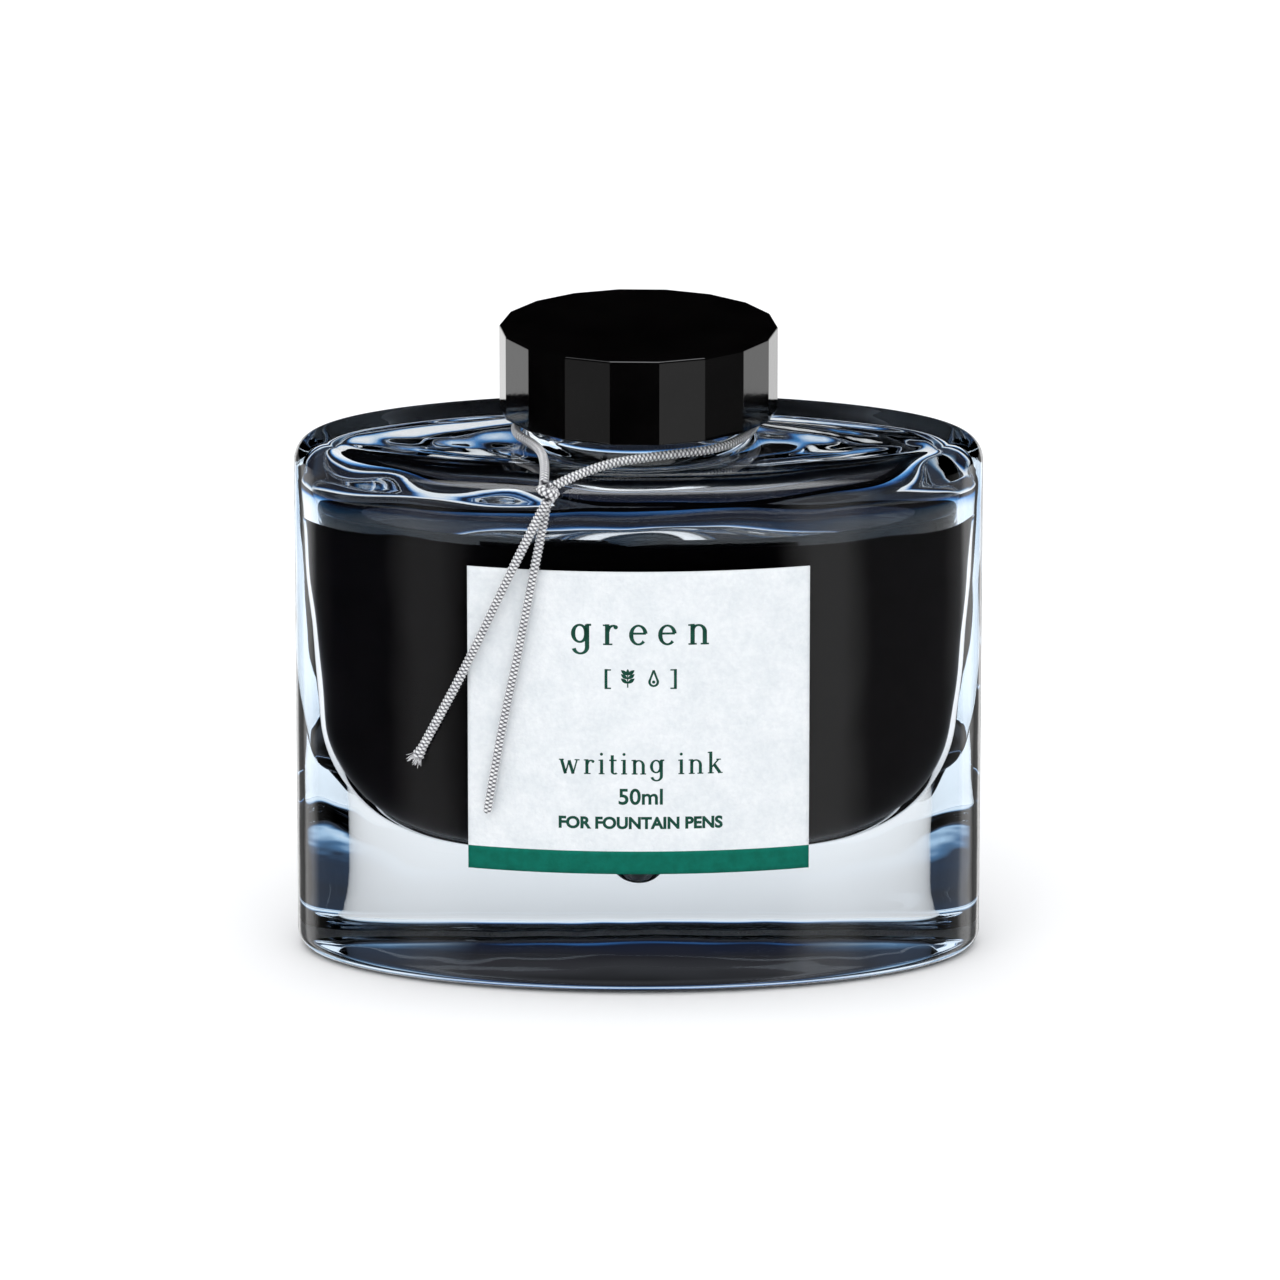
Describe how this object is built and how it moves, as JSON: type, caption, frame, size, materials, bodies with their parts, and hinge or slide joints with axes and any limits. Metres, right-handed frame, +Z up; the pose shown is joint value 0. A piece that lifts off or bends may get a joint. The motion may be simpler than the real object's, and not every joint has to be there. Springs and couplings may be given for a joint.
{
  "type": "inkwell",
  "caption": "Heavy clear glass ink bottle, elliptical in plan, with a faceted screw cap, a paper label, dark ink inside and a thin braided cord tied round its neck.",
  "frame": {"origin": "middle of the base, on the surface that the bottle stands on", "axes": "+Z up along the neck's axis, +X along the bottle's width, -Y towards the label"},
  "size_m": [0.08, 0.0419, 0.0752],
  "materials": {
    "glass": "polished",
    "ink": "gloss",
    "label": "matte",
    "cap": "gloss",
    "cap_inside": "satin",
    "liner": "matte",
    "cord": "satin"
  },
  "bodies": {
    "bottle": {"glass_bottle": "glass", "ink_fill": "ink", "front_label": "label", "cord_loop": "cord", "cord_knot": "cord", "cord_tail_left": "cord", "cord_tail_right": "cord"},
    "liner": {"cap_liner": "liner"},
    "cap": {"cap_shell": "cap", "cap_insert": "cap_inside"}
  },
  "joints": [
    {"name": "cap_lift", "type": "slide", "parent": "bottle", "child": "liner", "axis": [0, 0, 1], "range_m": [0, 0.0128]},
    {"name": "cap_turn", "type": "hinge", "parent": "liner", "child": "cap", "pos_m": [0, 0, 0.07], "axis": [0, 0, 1], "range_deg": [0, 1080]}
  ],
  "couplings": [
    {"joint": "cap_lift", "follows": "cap_turn", "m_per_rad": 0.0006737}
  ]
}
